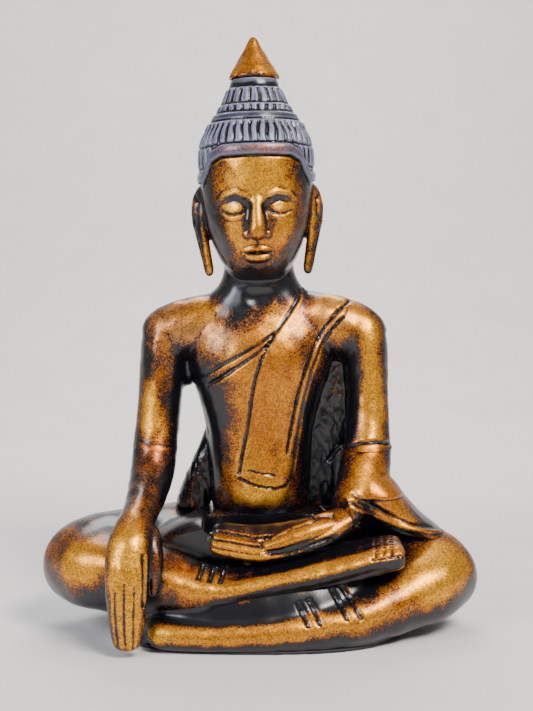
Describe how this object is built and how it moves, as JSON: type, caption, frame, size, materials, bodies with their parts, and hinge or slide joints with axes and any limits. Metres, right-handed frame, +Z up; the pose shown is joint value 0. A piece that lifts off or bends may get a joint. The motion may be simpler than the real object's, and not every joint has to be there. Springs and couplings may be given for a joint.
{
  "type": "seated buddha statue",
  "caption": "Seated Buddha figure in the earth-touching pose, a jointed wood carving with crossed legs, a robe over the left shoulder, a ribbed hair cap and a pointed finial.",
  "frame": {"origin": "on the underside of the base felt, midway between the knees; the spine stands 12 mm behind it", "axes": "+Z up, the figure faces -Y, and its right hand is on the -X side"},
  "size_m": [0.1878, 0.1033, 0.2496],
  "materials": {
    "gilt_lacquer": "carved hardwood under black lacquer, with bronze-gold powder rubbed and sprayed on what stands proud; satin",
    "dowel_wood": "bare turned hardwood dowel",
    "base_felt": "pressed wool felt, dark green-black"
  },
  "bodies": {
    "root": {"seat_block": "gilt_lacquer", "right_shin_and_foot": "gilt_lacquer", "torso": "gilt_lacquer", "right_upper_arm": "gilt_lacquer", "right_forearm_and_hand": "gilt_lacquer", "left_upper_arm": "gilt_lacquer", "left_forearm_and_sleeve": "gilt_lacquer", "left_hand": "gilt_lacquer", "head": "gilt_lacquer", "finial": "gilt_lacquer", "waist_dowels": "dowel_wood", "neck_dowel": "dowel_wood", "shoulder_dowels": "dowel_wood", "elbow_dowels": "dowel_wood", "wrist_dowel": "dowel_wood", "shin_dowels": "dowel_wood", "finial_pin": "dowel_wood", "base_felt": "base_felt"}
  },
  "joints": []
}
